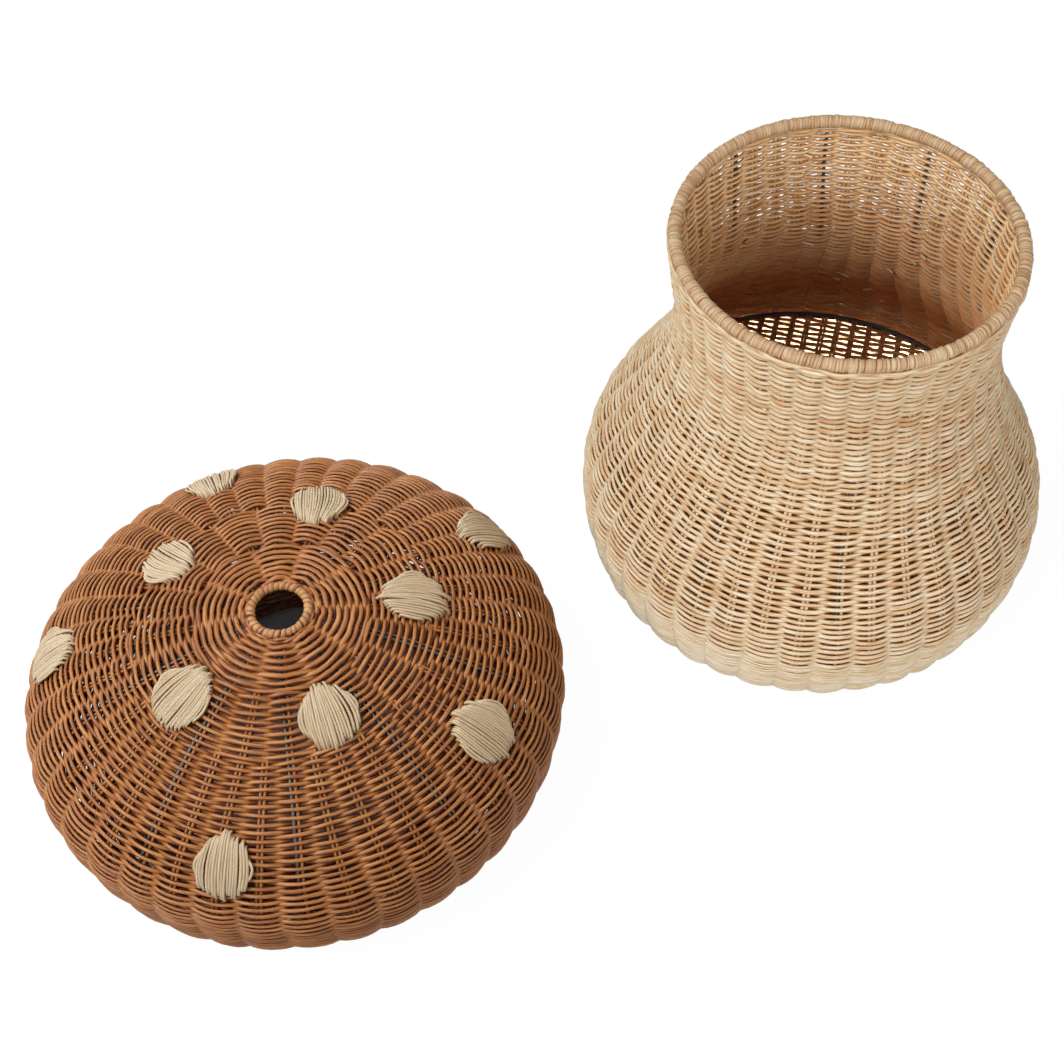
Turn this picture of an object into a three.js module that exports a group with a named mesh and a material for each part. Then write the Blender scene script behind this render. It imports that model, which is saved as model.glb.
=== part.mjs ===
// Two-piece rattan basket: a bellied body with a rolled mouth, and a domed lid that lies beside it.
// Millimetres, +Z up. The body stands at +X and the lid lies at -X, both on the ground plane z = 0.
import * as THREE from "three";

// Clearances
const seat_gap = 0.3;
const lid_to_body_gap = 61.3;

// Weave, shared by both halves
const stake_columns = 40;
const wire_every = 4;
const full_turn = 2 * Math.PI;
const degree = Math.PI / 180;

// Body
const body_height = 320;
const foot_inset = 8;
const belly_radius = 180;
const belly_height = 64;
const belly_rise = 48;
const neck_radius = 117.4;
const neck_height = 250;
const neck_drop = 95;
const mouth_radius = 124;
const mouth_flare_height = 268;
const mouth_flare_radius = 119;
const waist_height = 170;
const wall_thickness = 6;
const wall_flute_depth = 3.5;
const body_turn = 28;

// Foot, floor and hoops of the body
const floor_height = 62;
const floor_thickness = 5;
const floor_ring_radius = 2.2;
const skirt_height = 56;
const foot_hoop_radius = 2;
const foot_hoop_height = 5;
const upright_radius = 1.5;
const upright_foot_height = 3;

// Rolled mouth
const roll_radius = 4.8;
const rim_hoop_radius = 2.4;
const roll_centre_inset = 5.9;
const wrap_opening_degrees = 60;

// Lid
const lid_overhang = 71;
const lid_radius = mouth_radius + lid_overhang;
const shoulder_height = 65.4;
const crown_height = 160.5;
const crown_reach = 65;
const crown_fall = 9.75;
const shoulder_rise = 55;
const shoulder_drop = 30;
const turn_under_inset = 21;
const turn_under_reach = 14;
const dome_thickness = 5.5;
const dome_flute_depth = 3.4;
const lid_rib_radius = 1.4;
const lid_turn = -1;

// Underside, collar and hoops of the lid
const collar_depth = 12.5;
const collar_clearance = 2.8;
const collar_thickness = 5;
const underside_thickness = 5;
const lid_hoop_radius = 2;

// Finger hole
const hole_radius = 18;
const hole_roll_radius = 2.9;
const hole_hoop_radius = 1.2;
const hole_wrap_opening_degrees = 70;
const hole_facets = 20;

// Stitched spots
const spot_radius = 22.5;
const spot_height = 2.6;
const spot_edge_height = 1;

// Each spot's share of a full turn, and its share of the way from the finger hole to the edge.
// Five stand round the finger hole and five stand half a step on, nearer the shoulder.
const spot_shares = [
  [0.156, 0.305],
  [0.343, 0.293],
  [0.554, 0.237],
  [0.753, 0.237],
  [0.963, 0.258],
  [0.03, 0.571],
  [0.252, 0.529],
  [0.432, 0.576],
  [0.655, 0.572],
  [0.852, 0.524],
];

// The dome's facets step by these shares of the way from the finger hole to the edge.
const crown_step_shares = [0, 0.13, 0.26, 0.38, 0.48, 0.57, 0.66];
const shoulder_step_shares = [0.73, 0.79, 0.85, 0.9, 0.95, 1];

// Where the lid's flutes have grown to full depth, and where they start to fade at the edge
const flute_full_share = 0.4;
const flute_fade_share = 0.85;

// Facets
const turn_facets = 2 * stake_columns;
const hoop_facets = 6;
const wrap_facets = 8;
const wire_sides = 6;
const belly_steps = 4;
const neck_steps = 5;
const skirt_steps = 2;
const spot_rings = 2;
const spot_facets = 12;

const natural = { color: 0xd9bf96, roughness: 0.7, metalness: 0 };
const brown = { color: 0x9a5f38, roughness: 0.6, metalness: 0 };
const wire = { color: 0x2b2a29, roughness: 0.45, metalness: 0.6 };

const basket = new THREE.Group();
const body = new THREE.Group();
const lid = new THREE.Group();
basket.add(body, lid);

const overall_length = 2 * lid_radius + lid_to_body_gap + 2 * belly_radius;
body.position.x = overall_length / 2 - belly_radius;
lid.position.x = lid_radius - overall_length / 2;
body.rotation.z = body_turn * degree;
lid.rotation.z = lid_turn * degree;

function add(group, name, geometry, look) {
  const mesh = new THREE.Mesh(geometry, new THREE.MeshStandardMaterial(look));
  mesh.name = name;
  group.add(mesh);
  return mesh;
}

// A closed surface from rows of points. Each row is a closed loop, and the last row meets the first.
function closedLoops(rows) {
  const count = rows[0].length;
  const positions = rows.flat().flatMap((point) => [point.x, point.y, point.z]);
  const faces = [];
  rows.forEach((row, i) => {
    const here = i * count;
    const next = ((i + 1) % rows.length) * count;
    for (let j = 0; j < count; j += 1) {
      const k = (j + 1) % count;
      faces.push(here + j, here + k, next + k, here + j, next + k, next + j);
    }
  });
  const geometry = new THREE.BufferGeometry();
  geometry.setAttribute("position", new THREE.Float32BufferAttribute(positions, 3));
  geometry.setIndex(faces);
  return geometry;
}

// A station is a point of the outer outline with its outward direction and its flute depth.
// Crests lie at the stake columns and valleys half way between them.
function fluteLoop(station, depth) {
  const loop = [];
  for (let j = 0; j < turn_facets; j += 1) {
    const inset = depth + (j % 2 === 0 ? 0 : station.flute);
    const radius = station.r - inset * station.nr;
    const angle = (j * full_turn) / turn_facets;
    const height = station.z - inset * station.nz;
    loop.push(new THREE.Vector3(radius * Math.cos(angle), radius * Math.sin(angle), height));
  }
  return loop;
}

// A fluted sheet of one thickness, like a woven wall that swells over each stake
function flutedShell(stations, thickness) {
  const outer = stations.map((station) => fluteLoop(station, 0));
  const inner = stations.map((station) => fluteLoop(station, thickness));
  return closedLoops([...outer, ...inner.reverse()]);
}

// The body's outline: foot to belly, belly to neck, neck to mouth
const wall_top = body_height - 2 * roll_radius - seat_gap;
const foot_radius = belly_radius - foot_inset;
const foot_curve = new THREE.QuadraticBezierCurve(
  new THREE.Vector2(foot_radius, 0),
  new THREE.Vector2(belly_radius, belly_height / 2),
  new THREE.Vector2(belly_radius, belly_height),
);
const belly_curve = new THREE.CubicBezierCurve(
  new THREE.Vector2(belly_radius, belly_height),
  new THREE.Vector2(belly_radius, belly_height + belly_rise),
  new THREE.Vector2(neck_radius, neck_height - neck_drop),
  new THREE.Vector2(neck_radius, neck_height),
);
const mouth_curve = new THREE.QuadraticBezierCurve(
  new THREE.Vector2(neck_radius, neck_height),
  new THREE.Vector2(mouth_flare_radius, mouth_flare_height),
  new THREE.Vector2(mouth_radius, wall_top),
);
const body_outline = [foot_curve, belly_curve, mouth_curve].flatMap((curve) =>
  curve.getPoints(turn_facets).map((point) => ({ r: point.x, z: point.y })),
);

// The radius of an outline at a height, along the straight lines between its points
function radiusAt(outline, height) {
  const above = outline.findIndex((point) => point.z >= height);
  if (above < 0) return outline[outline.length - 1].r;
  if (above === 0) return outline[0].r;
  const lower = outline[above - 1];
  const upper = outline[above];
  const span = upper.z - lower.z;
  const share = span > 0 ? (height - lower.z) / span : 0;
  return lower.r + share * (upper.r - lower.r);
}

function bodyStation(outline, z) {
  return { r: radiusAt(outline, z), z, nr: 1, nz: 0, flute: wall_flute_depth };
}

function bodyStations(low, high, steps) {
  return Array.from({ length: steps + 1 }, (unused, i) =>
    bodyStation(body_outline, low + ((high - low) * i) / steps),
  );
}

const skirt_stations = bodyStations(0, skirt_height, skirt_steps);
const belly_stations = bodyStations(skirt_height + seat_gap, waist_height, belly_steps);
const neck_stations = bodyStations(waist_height + seat_gap, wall_top, neck_steps);
add(body, "foot_skirt", flutedShell(skirt_stations, wall_thickness), natural);
add(body, "belly_wall", flutedShell(belly_stations, wall_thickness), natural);
add(body, "neck_wall", flutedShell(neck_stations, wall_thickness), natural);

// A curve that steps from station to station, so that a wire's facets match the sheet's
class StationCurve extends THREE.Curve {
  constructor(points) {
    super();
    this.points = points;
  }

  getPoint(share, target = new THREE.Vector3()) {
    const place = share * (this.points.length - 1);
    const index = Math.min(Math.floor(place), this.points.length - 2);
    return target.lerpVectors(this.points[index], this.points[index + 1], place - index);
  }

  getPointAt(share, target) {
    return this.getPoint(share, target);
  }

  getTangentAt(share, target = new THREE.Vector3()) {
    const last = this.points.length - 1;
    const place = Math.round(share * last);
    const before = this.points[Math.max(place - 1, 0)];
    const after = this.points[Math.min(place + 1, last)];
    return target.subVectors(after, before).normalize();
  }
}

function wireAlong(points, radius) {
  const section = new THREE.Shape();
  for (let i = 0; i < wire_sides; i += 1) {
    const angle = (i * full_turn) / wire_sides;
    const x = radius * Math.cos(angle);
    const y = radius * Math.sin(angle);
    if (i === 0) section.moveTo(x, y);
    else section.lineTo(x, y);
  }
  section.closePath();
  return new THREE.ExtrudeGeometry(section, {
    steps: points.length - 1,
    extrudePath: new StationCurve(points),
    bevelEnabled: false,
  });
}

// A wire's place at a station: in the groove behind a crest, just clear of the groove's two sides
function wirePoint(station, radius, thickness) {
  const half_pitch = (station.r - thickness * station.nr) * Math.sin(full_turn / turn_facets);
  const spread = Math.atan2(station.flute, half_pitch);
  const inset = thickness + (radius + seat_gap) / Math.cos(spread);
  return new THREE.Vector2(station.r - inset * station.nr, station.z - inset * station.nz);
}

// One wire in every fourth groove
function wireSet(group, prefix, outline, radius, look) {
  const wires = stake_columns / wire_every;
  for (let i = 0; i < wires; i += 1) {
    const angle = (i * full_turn) / wires;
    const points = outline.map(
      (point) => new THREE.Vector3(point.x * Math.cos(angle), point.x * Math.sin(angle), point.y),
    );
    add(group, prefix + String(i + 1).padStart(2, "0"), wireAlong(points, radius), look);
  }
}

const upright_stations = [
  bodyStation(skirt_stations, upright_foot_height),
  ...skirt_stations.slice(1),
  ...belly_stations,
  ...neck_stations,
];
const upright_outline = upright_stations.map((station) =>
  wirePoint(station, upright_radius, wall_thickness),
);
wireSet(body, "upright_", upright_outline, upright_radius, wire);

// A ring turned about the axis, from a closed section of radius and height pairs
function turnedRing(section, facets, start_share) {
  const rows = section.map(([radius, height]) =>
    Array.from({ length: facets }, (unused, j) => {
      const angle = ((j + start_share) * full_turn) / facets;
      return new THREE.Vector3(radius * Math.cos(angle), radius * Math.sin(angle), height);
    }),
  );
  return closedLoops(rows);
}

function roundSection(centre_radius, height, radius) {
  return Array.from({ length: hoop_facets }, (unused, i) => {
    const angle = (i * full_turn) / hoop_facets;
    return [centre_radius + radius * Math.cos(angle), height + radius * Math.sin(angle)];
  });
}

// A strand wound round a hoop, left open along one side where the weave comes in
function wrapSection(centre_radius, height, outer, inner, opening_degrees, opening_towards) {
  const start = opening_towards + (opening_degrees * degree) / 2;
  const sweep = full_turn - opening_degrees * degree;
  const arc = (radius) =>
    Array.from({ length: wrap_facets + 1 }, (unused, i) => {
      const angle = start + (sweep * i) / wrap_facets;
      return [centre_radius + radius * Math.cos(angle), height + radius * Math.sin(angle)];
    });
  return [...arc(outer), ...arc(inner).reverse()];
}

function plainSection(inner_radius, outer_radius, low, high) {
  return [
    [outer_radius, low],
    [outer_radius, high],
    [inner_radius, high],
    [inner_radius, low],
  ];
}

// A hoop inside the body lies against the sheet's inner ridges, which stand at the valleys.
function hoopInBody(stations, height, radius) {
  const station = bodyStation(stations, height);
  const ridge = station.r - wall_thickness - wall_flute_depth;
  const upright_face = wirePoint(station, upright_radius, wall_thickness).x - upright_radius;
  return Math.min(ridge, upright_face) - seat_gap - radius;
}

const foot_hoop_centre = hoopInBody(skirt_stations, foot_hoop_height, foot_hoop_radius);
const foot_hoop_section = roundSection(foot_hoop_centre, foot_hoop_height, foot_hoop_radius);
add(body, "foot_hoop", turnedRing(foot_hoop_section, stake_columns, 0.5), wire);

const floor_ring_centre = hoopInBody(belly_stations, floor_height, floor_ring_radius);
const floor_ring_section = roundSection(floor_ring_centre, floor_height, floor_ring_radius);
add(body, "floor_ring", turnedRing(floor_ring_section, stake_columns, 0.5), wire);

const floor_radius = floor_ring_centre - floor_ring_radius - seat_gap;
const floor_plate = new THREE.CylinderGeometry(
  floor_radius,
  floor_radius,
  floor_thickness,
  stake_columns,
);
floor_plate.rotateX(Math.PI / 2);
floor_plate.rotateZ(full_turn / turn_facets);
floor_plate.translate(0, 0, floor_height);
add(body, "woven_floor", floor_plate, natural);

const roll_height = body_height - roll_radius;
const roll_centre_radius = mouth_radius - roll_centre_inset;
const rim_hoop_section = roundSection(roll_centre_radius, roll_height, rim_hoop_radius);
const rim_wrap_section = wrapSection(
  roll_centre_radius,
  roll_height,
  roll_radius,
  rim_hoop_radius + seat_gap,
  wrap_opening_degrees,
  -Math.PI / 2,
);
add(body, "rim_hoop", turnedRing(rim_hoop_section, stake_columns, 0), wire);
add(body, "rim_wrap", turnedRing(rim_wrap_section, stake_columns, 0), natural);

// The lid's outline, from the finger hole over the crown and shoulder to the turned-under edge
const turn_under_radius = lid_radius - turn_under_inset;
const dome_start = hole_radius + 2 * (hole_roll_radius + seat_gap);
const crown_curve = new THREE.CubicBezierCurve(
  new THREE.Vector2(dome_start, crown_height),
  new THREE.Vector2(dome_start + crown_reach, crown_height - crown_fall),
  new THREE.Vector2(lid_radius, shoulder_height + shoulder_rise),
  new THREE.Vector2(lid_radius, shoulder_height),
);
const edge_curve = new THREE.CubicBezierCurve(
  new THREE.Vector2(lid_radius, shoulder_height),
  new THREE.Vector2(lid_radius, shoulder_height - shoulder_drop),
  new THREE.Vector2(turn_under_radius + turn_under_reach, collar_depth),
  new THREE.Vector2(turn_under_radius, collar_depth),
);
const dome_path = new THREE.CurvePath();
dome_path.add(crown_curve);
dome_path.add(edge_curve);
const dome_length = dome_path.getLength();

// The flutes fade out at the finger hole and at the turned-under edge.
function domeStation(share) {
  const point = dome_path.getPointAt(share);
  const tangent = dome_path.getTangentAt(share);
  const from_hole = THREE.MathUtils.smoothstep(share, 0, flute_full_share);
  const to_edge = 1 - THREE.MathUtils.smoothstep(share, flute_fade_share, 1);
  const flute = dome_flute_depth * from_hole * to_edge;
  return { r: point.x, z: point.y, nr: -tangent.y, nz: tangent.x, flute };
}

const crown_end_share = crown_step_shares[crown_step_shares.length - 1];
const shoulder_start_share = crown_end_share + seat_gap / dome_length;
const crown_stations = [...crown_step_shares].reverse().map(domeStation);
const shoulder_shares = [shoulder_start_share, ...shoulder_step_shares];
const shoulder_stations = shoulder_shares.reverse().map(domeStation);
add(lid, "lid_crown", flutedShell(crown_stations, dome_thickness), brown);
add(lid, "lid_shoulder", flutedShell(shoulder_stations, dome_thickness), brown);

const rib_outline = [...shoulder_stations, ...crown_stations].map((station) =>
  wirePoint(station, lid_rib_radius, dome_thickness),
);
wireSet(lid, "lid_rib_", rib_outline, lid_rib_radius, wire);

// The finger hole's roll lies in line with the middle of the dome's sheet.
const hole_edge = crown_stations[crown_stations.length - 1];
const hole_reach = hole_roll_radius + seat_gap;
const hole_roll_centre =
  hole_edge.r - (dome_thickness / 2) * hole_edge.nr - hole_reach * hole_edge.nz;
const hole_roll_height =
  hole_edge.z - (dome_thickness / 2) * hole_edge.nz + hole_reach * hole_edge.nr;
const hole_hoop_section = roundSection(hole_roll_centre, hole_roll_height, hole_hoop_radius);
const hole_wrap_section = wrapSection(
  hole_roll_centre,
  hole_roll_height,
  hole_roll_radius,
  hole_hoop_radius + seat_gap,
  hole_wrap_opening_degrees,
  0,
);
add(lid, "finger_hole_hoop", turnedRing(hole_hoop_section, hole_facets, 0), wire);
add(lid, "finger_hole_wrap", turnedRing(hole_wrap_section, hole_facets, 0), brown);

// The collar drops inside the rolled mouth, and the underside rests on the roll.
const collar_radius = roll_centre_radius - roll_radius - collar_clearance;
const underside_top = collar_depth + underside_thickness;
const collar_section = plainSection(
  collar_radius - collar_thickness,
  collar_radius,
  0,
  underside_top,
);
const underside_section = plainSection(
  collar_radius + seat_gap,
  turn_under_radius - seat_gap,
  collar_depth,
  underside_top,
);
const lid_hoop_section = roundSection(
  turn_under_radius - lid_rib_radius - lid_hoop_radius,
  underside_top + seat_gap + lid_hoop_radius,
  lid_hoop_radius,
);
add(lid, "lid_collar", turnedRing(collar_section, stake_columns, 0), brown);
add(lid, "lid_underside", turnedRing(underside_section, stake_columns, 0), brown);
add(lid, "lid_base_hoop", turnedRing(lid_hoop_section, stake_columns, 0), wire);

// A point over the dome, at a distance along its outline and round it, raised off the sheet
function overDome(along, turn, lift) {
  const station = domeStation(along / dome_length);
  const radius = station.r + lift * station.nr;
  const height = station.z + lift * station.nz;
  return new THREE.Vector3(radius * Math.cos(turn), radius * Math.sin(turn), height);
}

// A spot is a round pad, thickest in the middle, bent to lie on the dome.
function stitchedSpot(along, turn) {
  const middle = domeStation(along / dome_length).r;
  const place = (reach, bearing, lift) =>
    overDome(along + reach * Math.cos(bearing), turn + (reach * Math.sin(bearing)) / middle, lift);
  const points = [place(0, 0, seat_gap), place(0, 0, seat_gap + spot_height)];
  const ring = (reach, lift) => {
    const first = points.length;
    for (let i = 0; i < spot_facets; i += 1) {
      points.push(place(reach, (i * full_turn) / spot_facets, lift));
    }
    return first;
  };
  const rings = [];
  for (let i = 1; i <= spot_rings; i += 1) rings.push(ring((spot_radius * i) / spot_rings, seat_gap));
  for (let i = spot_rings; i >= 1; i -= 1) {
    const share = i / spot_rings;
    const rise = spot_edge_height + (spot_height - spot_edge_height) * (1 - share * share);
    rings.push(ring(spot_radius * share, seat_gap + rise));
  }
  const faces = [];
  for (let i = 0; i < spot_facets; i += 1) {
    const k = (i + 1) % spot_facets;
    faces.push(0, rings[0] + k, rings[0] + i);
    faces.push(1, rings[rings.length - 1] + i, rings[rings.length - 1] + k);
    for (let row = 0; row + 1 < rings.length; row += 1) {
      const here = rings[row];
      const next = rings[row + 1];
      faces.push(here + i, next + k, next + i, here + i, here + k, next + k);
    }
  }
  const geometry = new THREE.BufferGeometry();
  const positions = points.flatMap((point) => [point.x, point.y, point.z]);
  geometry.setAttribute("position", new THREE.Float32BufferAttribute(positions, 3));
  geometry.setIndex(faces);
  return geometry;
}

spot_shares.forEach(([turn_share, along_share], i) => {
  const name = "spot_" + String(i + 1).padStart(2, "0");
  const spot = stitchedSpot(along_share * dome_length, turn_share * full_turn);
  add(lid, name, spot, natural);
});

export default basket;
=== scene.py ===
import math

import bpy
import numpy as np
from mathutils import Matrix, Vector


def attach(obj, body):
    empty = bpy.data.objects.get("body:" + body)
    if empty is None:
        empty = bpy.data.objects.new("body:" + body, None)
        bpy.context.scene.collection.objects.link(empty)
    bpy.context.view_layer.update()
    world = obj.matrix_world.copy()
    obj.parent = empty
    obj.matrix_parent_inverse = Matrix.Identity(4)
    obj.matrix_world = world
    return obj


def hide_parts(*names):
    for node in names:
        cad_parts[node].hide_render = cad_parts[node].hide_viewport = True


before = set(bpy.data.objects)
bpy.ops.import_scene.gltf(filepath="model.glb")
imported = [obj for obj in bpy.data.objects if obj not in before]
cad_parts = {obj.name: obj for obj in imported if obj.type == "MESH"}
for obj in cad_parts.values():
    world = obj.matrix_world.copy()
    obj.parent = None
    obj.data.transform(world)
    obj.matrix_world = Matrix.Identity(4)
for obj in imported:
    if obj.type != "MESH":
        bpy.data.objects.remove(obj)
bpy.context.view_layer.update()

# Where the two halves stand, and how each is turned about its axis
body_x = 0.22565
lid_x = -0.21065
body_turn = math.radians(28.0)
lid_turn = math.radians(-1.0)
stake_columns = 40
wire_every = 4
row_pitch = 0.0026
full_turn = 2.0 * math.pi


# Nodes of the materials and of the world
white = (1.0, 1.0, 1.0, 1.0)


def opaque(colour):
    return (*colour, 1.0)


class Net:
    """The nodes of one material or of the world, and the links between them."""

    def __init__(self, owner):
        owner.use_nodes = True
        self.nodes = owner.node_tree.nodes
        self.links = owner.node_tree.links

    def feed(self, node, inputs):
        """Gives a node's inputs plain values or the outputs of other nodes."""
        for socket, value in inputs.items():
            if isinstance(value, bpy.types.NodeSocket):
                self.links.new(value, node.inputs[socket])
            elif value is not None:
                node.inputs[socket].default_value = value

    def add(self, kind, inputs=None, **settings):
        node = self.nodes.new("ShaderNode" + kind)
        for name, value in settings.items():
            setattr(node, name, value)
        self.feed(node, inputs or {})
        return node

    def maths(self, operation, first, second=None):
        return self.add("Math", {0: first, 1: second}, operation=operation).outputs[0]

    def ranged(self, value, none, full, low=0.0, high=1.0, **settings):
        """Low where a value is at none, high where it is at full."""
        inputs = {"Value": value, "From Min": none, "From Max": full, "To Min": low, "To Max": high}
        return self.add("MapRange", inputs, **settings).outputs[0]

    def mixed(self, share, first, second, blend="MIX"):
        inputs = {"Factor": share, "A": first, "B": second}
        return self.add("Mix", inputs, data_type="RGBA", blend_type=blend).outputs["Result"]

    def noise(self, place, scale, detail, rough=0.5):
        inputs = {"Vector": place, "Scale": scale, "Detail": detail, "Roughness": rough}
        return self.add("TexNoise", inputs).outputs["Fac"]

    def stretched(self, *axes):
        """A place made of values, each stretched by its own number."""
        inputs = {i: self.maths("MULTIPLY", value, by) for i, (value, by) in enumerate(axes)}
        return self.add("CombineXYZ", inputs).outputs[0]

    def ramp(self, value, places, colours):
        node = self.add("ValToRGB", {"Fac": value})
        elements = node.color_ramp.elements
        while len(elements) < len(colours):
            elements.new(0.5)
        for element, place, colour in zip(elements, places, colours):
            element.position = float(place)
            element.color = opaque(colour)
        return node.outputs["Color"]

    def bump(self, height, strength, distance):
        inputs = {"Strength": strength, "Distance": distance, "Height": height}
        return self.add("Bump", inputs).outputs[0]

    def object_place(self):
        return self.add("TexCoord").outputs["Object"]

    def seen_rays(self):
        """1 for rays from the camera, off gloss or through glass, which see the white ground."""
        rays = self.add("LightPath").outputs
        direct = self.maths("MAXIMUM", rays["Is Camera Ray"], rays["Is Glossy Ray"])
        return self.maths("MAXIMUM", direct, rays["Is Transmission Ray"])


# Camera, lights and floor
def set_camera():
    place = Vector((-0.3140, -0.6535, 1.1170))
    right = Vector((0.8936, -0.4486, -0.0139))
    up = Vector((0.3622, 0.7024, 0.6127))
    back = right.cross(up).normalized()
    right = up.cross(back).normalized()
    turn = Matrix((right, up, back)).transposed().to_4x4()
    data = bpy.data.cameras.new("camera")
    data.lens = 56.742
    data.sensor_width = 36.0
    data.shift_x = -0.0205
    data.shift_y = -0.0519
    data.clip_start = 0.01
    data.clip_end = 50.0
    camera = bpy.data.objects.new("camera", data)
    camera.matrix_world = Matrix.Translation(place) @ turn
    bpy.context.scene.collection.objects.link(camera)
    bpy.context.scene.camera = camera


def hang_lamp(data, place, aim):
    lamp = bpy.data.objects.new(data.name, data)
    lamp.location = place
    lamp.rotation_euler = aim.to_track_quat("-Z", "Y").to_euler()
    bpy.context.scene.collection.objects.link(lamp)
    return lamp


def soft_lamp(name, place, target, size, power, colour):
    """A square softbox, aimed at a point."""
    data = bpy.data.lights.new(name, "AREA")
    data.shape = "SQUARE"
    data.size = size
    data.energy = power
    data.color = colour
    return hang_lamp(data, place, Vector(target) - Vector(place))


def foot_lamp(power, colour):
    """A small lamp inside the foot, for the foot's own weave, as on a lit table."""
    data = bpy.data.lights.new("under_floor", "SPOT")
    data.energy = power
    data.color = colour
    data.spot_size = math.radians(150.0)
    data.spot_blend = 0.6
    data.shadow_soft_size = 0.02
    return hang_lamp(data, (body_x - 0.064, -0.077, 0.03), Vector((0.64, 0.77, 0.0)))


def light_only(lamp, pieces):
    """Keeps a lamp to these pieces, so that it lights nothing else."""
    lit = bpy.data.collections.new("lit_by_" + lamp.name)
    for piece in pieces:
        lit.objects.link(piece)
    lamp.light_linking.receiver_collection = lit


def set_world(colour, strength):
    """A weak warm glow from all round, in front of a white ground."""
    world = bpy.data.worlds.new("studio")
    bpy.context.scene.world = world
    net = Net(world)
    net.nodes.clear()
    glow = net.add("Background", {"Color": opaque(colour), "Strength": strength})
    ground = net.add("Background", {"Color": white, "Strength": 1.0})
    seen = net.seen_rays()
    mix = net.add("MixShader", {"Fac": seen, 1: glow.outputs[0], 2: ground.outputs[0]})
    net.add("OutputWorld", {"Surface": mix.outputs[0]})


def disc_mask(net, centre, inner, outer):
    """1 inside a disc on the floor, falling to 0 at its outer radius."""
    apart = net.add("VectorMath", {0: net.object_place(), 1: centre}, operation="SUBTRACT")
    length = net.add("VectorMath", {0: apart.outputs[0]}, operation="LENGTH")
    distance = length.outputs["Value"]
    return net.ranged(distance, inner, outer, 1.0, 0.0, interpolation_type="SMOOTHSTEP")


def set_floor(shade_cloth_colour, shine, shine_share):
    """A floor that looks white by a glow for the camera, over a darker grey-blue cloth that keeps
    the object's shadow. Right under each half the glow is left out, and the bare cloth is painted
    shade.
    """
    bpy.ops.object.select_all(action="DESELECT")
    bpy.ops.mesh.primitive_plane_add(size=12.0, location=(0.0, 0.0, -0.0004))
    floor = bpy.context.object
    floor.name = "floor"
    material = bpy.data.materials.new("pale_floor")
    net = Net(material)
    net.nodes.clear()
    cloth = net.add("BsdfDiffuse", {"Color": opaque(shade_cloth_colour)})
    shining = net.add("Emission", {"Color": white, "Strength": shine})
    # Right under each half the glow is left out: the darker cloth there is painted shade
    shade_under_body = disc_mask(net, (body_x, 0.0, 0.0), inner=0.160, outer=0.168)
    shade_under_lid = disc_mask(net, (lid_x, 0.0, 0.0), inner=0.145, outer=0.172)
    under = net.maths("MAXIMUM", shade_under_body, shade_under_lid)
    share = net.ranged(under, 0.0, 1.0, shine_share, 0.0)
    amount = net.maths("MULTIPLY", share, net.seen_rays())
    mix = net.add("MixShader", {"Fac": amount, 1: cloth.outputs[0], 2: shining.outputs[0]})
    net.add("OutputMaterial", {"Surface": mix.outputs[0]})
    floor.data.materials.append(material)


bpy.context.scene.view_settings.view_transform = "Standard"
set_camera()
set_world(colour=(1.0, 0.955, 0.89), strength=0.41)
soft_lamp(
    "key",
    place=(-1.65, 0.15, 2.2),
    target=(0.0, 0.0, 0.1),
    size=1.6,
    power=60.0,
    colour=(0.99, 0.99, 0.98),
)
soft_lamp(
    "back",
    place=(-0.7, 1.9, 1.5),
    target=(0.0, 0.0, 0.1),
    size=1.5,
    power=20.0,
    colour=(0.96, 1.0, 1.0),
)
front = soft_lamp(
    "front",
    place=(-0.6, -2.0, 1.05),
    target=(0.2, 0.0, 0.1),
    size=1.6,
    power=41.0,
    colour=(1.0, 0.985, 0.97),
)
soft_lamp(
    "fill",
    place=(1.2, -1.7, 1.3),
    target=(0.1, 0.0, 0.1),
    size=1.6,
    power=10.0,
    colour=(1.0, 0.86, 0.68),
)
# The cloth is a darker grey-blue than the white floor, so where it shows bare it is painted shade
set_floor(shade_cloth_colour=(0.385, 0.42, 0.46), shine=1.1, shine_share=0.88)


# Materials
# Changes of tone and fibre for each metre of a strand, and fibres for each turn round it
tone_changes = 32.0
fibre_changes = 90.0
fibres_round = 15.0
# How far one strand's tone differs from the next, and how far it drifts along its own length
strand_difference = 0.26
tone_drift = 1.05
tone_start = 0.175
# How far apart two strands of neighbouring numbers read the noise, for tone and for fibre
tone_apart = 3.7
fibre_apart = 1.9
# How far round a strand its painted edge shade is turned, as an angle, to follow the fall of the
# light
edge_shade_turn = 0.4
# Heights on the body between which its inside goes from painted light near the mouth to painted
# shade lower down
lit_above = 0.28
shaded_below = 0.14


def strand_tone(net, along, number, tones):
    """Each strand has a tone of its own, which drifts slowly along it."""
    own = net.add("TexWhiteNoise", {"W": number}, noise_dimensions="1D").outputs["Value"]
    slow_place = net.stretched((along, tone_changes), (number, tone_apart))
    slow = net.noise(slow_place, 1.0, detail=2.0)
    own = net.maths("MULTIPLY", own, strand_difference)
    slow = net.maths("MULTIPLY", slow, tone_drift)
    tone = net.maths("SUBTRACT", net.maths("ADD", own, slow), tone_start)
    return net.ramp(tone, np.linspace(0.0, 1.0, len(tones)), tones)


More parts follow.
